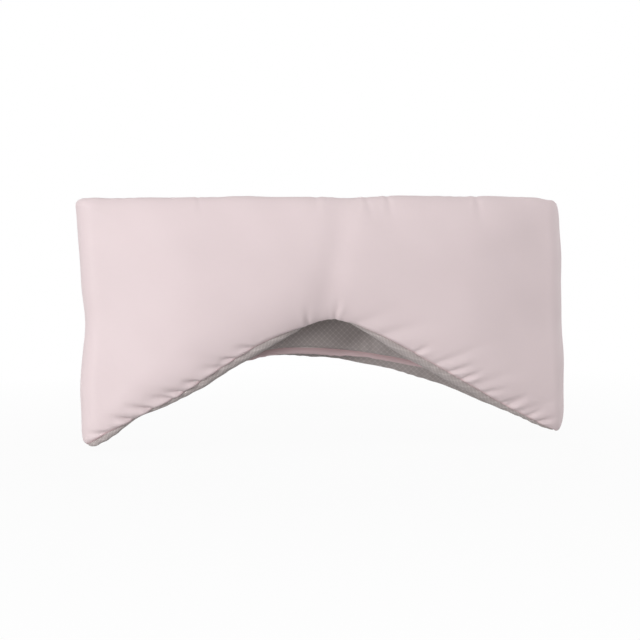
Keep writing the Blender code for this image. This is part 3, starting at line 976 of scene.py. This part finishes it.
# A loop is half a ring on a chance heading.
LOOP_PITCH = 0.0010
LOOP_JITTER = 0.0003
LOOP_REACH = 0.00042
LOOP_RADIUS = 0.00006
LOOP_HEIGHTS = (0.75, 0.95)
LOOP_POINTS = 6
loop_finish = tape_finish("loop_tape_pink", (0.52, 0.40, 0.41, 1.0), (0.66, 0.53, 0.54, 1.0), 0.75)
loop_tape = tape_backing("loop_tape_backing", LOOP_SEAT, 1, loop_finish)
places = pile_places(LOOP_PITCH, LOOP_SEAT, 1, LOOP_JITTER)
arch = np.linspace(0, math.pi, LOOP_POINTS)
heading = chance.uniform(0, 2 * math.pi, len(places))
tall = chance.uniform(*LOOP_HEIGHTS, len(places)) * PILE
sideways = LOOP_REACH * np.cos(arch)
loops = np.stack([
    np.cos(heading)[:, None] * sideways, tall[:, None] * np.sin(arch), np.sin(heading)[:, None] * sideways,
], axis=-1)
loop_pile = tufts("loop_tape_pile", places, loops, LOOP_RADIUS, loop_finish, sides=3)

# A hook is a stem that bends over to one side, and its neighbour bends to the other.
HOOK_PITCH = 0.0014
HOOK_REACH = 0.0003
HOOK_STAND = 0.9
HOOK_CURL = 3.4
HOOK_BEND = 2.2
HOOK_POINTS = 7
HOOK_RADIUS = 0.00009
hook_finish = tape_finish("hook_tape_pink", (0.48, 0.37, 0.38, 1.0), (0.58, 0.46, 0.47, 1.0), 0.45)
hook_tape = tape_backing("hook_tape_backing", HOOK_SEAT, -1, hook_finish)
places = pile_places(HOOK_PITCH, HOOK_SEAT, -1, 0.0)
bent = np.linspace(0, 1, HOOK_POINTS)
over, up = HOOK_REACH * np.sin(bent**2 * HOOK_CURL), PILE * HOOK_STAND * np.sin(bent * HOOK_BEND)
stem = [over, -up, 0 * bent]
heading = np.where(np.arange(len(places)) % 2, 1.0, -1.0)
hooks = np.stack(stem, axis=-1) * np.stack([heading, 1 + 0 * heading, heading], axis=-1)[:, None]
hook_pile = tufts("hook_tape_hooks", places, hooks, HOOK_RADIUS, hook_finish)

for tape, pile, panel, node, under in (
    (loop_tape, loop_pile, "left_wing", "loop_tape", satin_pieces),
    (hook_tape, hook_pile, "right_wing", "hook_tape", lining_pieces),
):
    for piece in (tape, pile):
        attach(piece, panel)
    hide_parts(node)

STITCH_RADIUS = 0.0002
STITCH_LIFT = 0.2
STITCH_POINTS = 400
wide, tall = TAPE_LENGTH / 2 - SELVAGE / 2, TAPE_HEIGHT / 2 - SELVAGE / 2
corners = np.array(((-wide, -tall), (wide, -tall), (wide, tall), (-wide, tall), (-wide, -tall)))
run = np.concatenate([[0], np.cumsum(np.linalg.norm(np.diff(corners, axis=0), axis=1))])
fine = np.linspace(0, run[-1], STITCH_POINTS, endpoint=False)
over, up = (np.interp(fine, run, corners[:, k]) for k in (0, 1))
dip = TAPE_BACKING + STITCH_RADIUS * (STITCH_LIFT + np.sin(2 * math.pi * fine / STITCH_LENGTH))
for name, seat, facing, panel in (
    ("loop_tape", LOOP_SEAT, 1, "left_wing"), ("hook_tape", HOOK_SEAT, -1, "right_wing"),
):
    path = np.stack([TAPE_MIDDLE[0] + over, seat + facing * dip, TAPE_MIDDLE[1] + up], axis=1)
    stitches = tube(f"{name}_stitches", path, STITCH_RADIUS, thread_finish, closed=True)
    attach(stitches, panel)
    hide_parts(f"{name}_stitching")


# The studio
# The mask stands on a plain pale floor before a white backdrop. Soft boxes light it from the left, from in
# front, from above, from the right and from behind. The camera stands a little to the left and above.

FLOOR_HEIGHT = -0.0606
FLOOR_HALF = 3.0
FLOOR_GREY = (0.50, 0.50, 0.50, 1.0)
WHITE = (1.0, 1.0, 1.0, 1.0)
SHADE_START = 0.14
SHADE_END = 0.40
SHADE_LEFT = 0.95
floor_finish, shader, wire = finish_of("white_floor")
corners = FLOOR_HALF * np.array(((-1, -1), (1, -1), (1, 1), (-1, 1)))
floor_points = [(x, y, FLOOR_HEIGHT) for x, y in corners]
floor = new_piece("floor", floor_points, [(0, 1, 2, 3)], floor_finish)


def in_view(wire):
    """One for a ray from the camera, or for one that reaches it by a mirror or through glass."""
    rays = wire.tree.nodes.new("ShaderNodeLightPath").outputs
    kinds = ("Camera", "Glossy", "Transmission")
    camera_ray, glossy, through = (Wire(wire.tree, rays[f"Is {kind} Ray"]) for kind in kinds)
    return camera_ray + glossy + through


# The floor keeps the mask's shadow, faintly under it and not at all further off.
wire.feed(shader, {"Base Color": FLOOR_GREY, "Roughness": 0.9, "Specular IOR Level": 0.1})
spot = wire.node("TexCoord", None, None, "Object")
away = wire.node("VectorMath", {"operation": "LENGTH"}, {0: spot}, "Value")
fade = {"Value": away, "From Min": SHADE_START, "From Max": SHADE_END, "To Min": SHADE_LEFT, "To Max": 1.0}
share = wire.node("MapRange", None, fade)
glow = wire.node("Emission", None, {"Color": WHITE, "Strength": 1.0})
lit = Wire(wire.tree, shader.outputs[0])
shown = wire.node("MixShader", None, {0: in_view(wire) * share, 1: lit, 2: glow})
wire.feed(wire.tree.nodes["Material Output"], {"Surface": shown})

ROOM_LIGHT = 0.41
world = bpy.data.worlds.new("studio")
bpy.context.scene.world = world
world.use_nodes = True
wire = Wire(world.node_tree)
soft = wire.node("Background", None, {"Color": WHITE, "Strength": ROOM_LIGHT})
white = wire.node("Background", None, {"Color": WHITE, "Strength": 1.0})
shown = wire.node("MixShader", None, {0: in_view(wire), 1: soft, 2: white})
wire.feed(wire.tree.nodes["World Output"], {"Surface": shown})

# Each soft box is square and points at the middle of the mask: its place, size and power.
SOFT_BOXES = {
    "key": ((-1.15, -0.75, 0.015), 0.15, 7.5),
    "low": ((-0.55, -1.1, 0.06), 0.2, 1.4),
    "front": ((0.25, -1.15, 0.36), 0.3, 2.4),
    "top": ((0.0, -0.5, 1.1), 0.6, 2.2),
    "side": ((1.25, 0.15, 0.05), 0.6, 3.8),
    "back": ((0.3, 1.3, 0.18), 0.9, 8.5),
}
for name, (place, size, power) in SOFT_BOXES.items():
    light = bpy.data.lights.new(name, "AREA")
    light.shape = "SQUARE"
    light.size = size
    light.energy = power
    box = bpy.data.objects.new(name, light)
    bpy.context.scene.collection.objects.link(box)
    box.location = place
    box.rotation_euler = (-Vector(place)).to_track_quat("-Z", "Y").to_euler()

FOCAL = 60.0
AZIMUTH = math.radians(-6.21)
ELEVATION = math.radians(3.09)
ROLL = math.radians(-0.574)
DISTANCE = 0.5243
TARGET = Vector((-0.0032, 0.0, 0.0))
camera_data = bpy.data.cameras.new("camera")
camera_data.lens = FOCAL
camera = bpy.data.objects.new("camera", camera_data)
bpy.context.scene.collection.objects.link(camera)
level = math.cos(ELEVATION)
back = Vector((math.sin(AZIMUTH) * level, -math.cos(AZIMUTH) * level, math.sin(ELEVATION)))
right = Vector((0, 0, 1)).cross(back).normalized()
up = back.cross(right)
turned = math.cos(ROLL) * right + math.sin(ROLL) * up
upright = math.cos(ROLL) * up - math.sin(ROLL) * right
facing = Matrix((turned, upright, back)).transposed().to_4x4()
camera.matrix_world = Matrix.Translation(TARGET + back * DISTANCE) @ facing
bpy.context.scene.camera = camera
bpy.context.scene.view_settings.view_transform = "Standard"
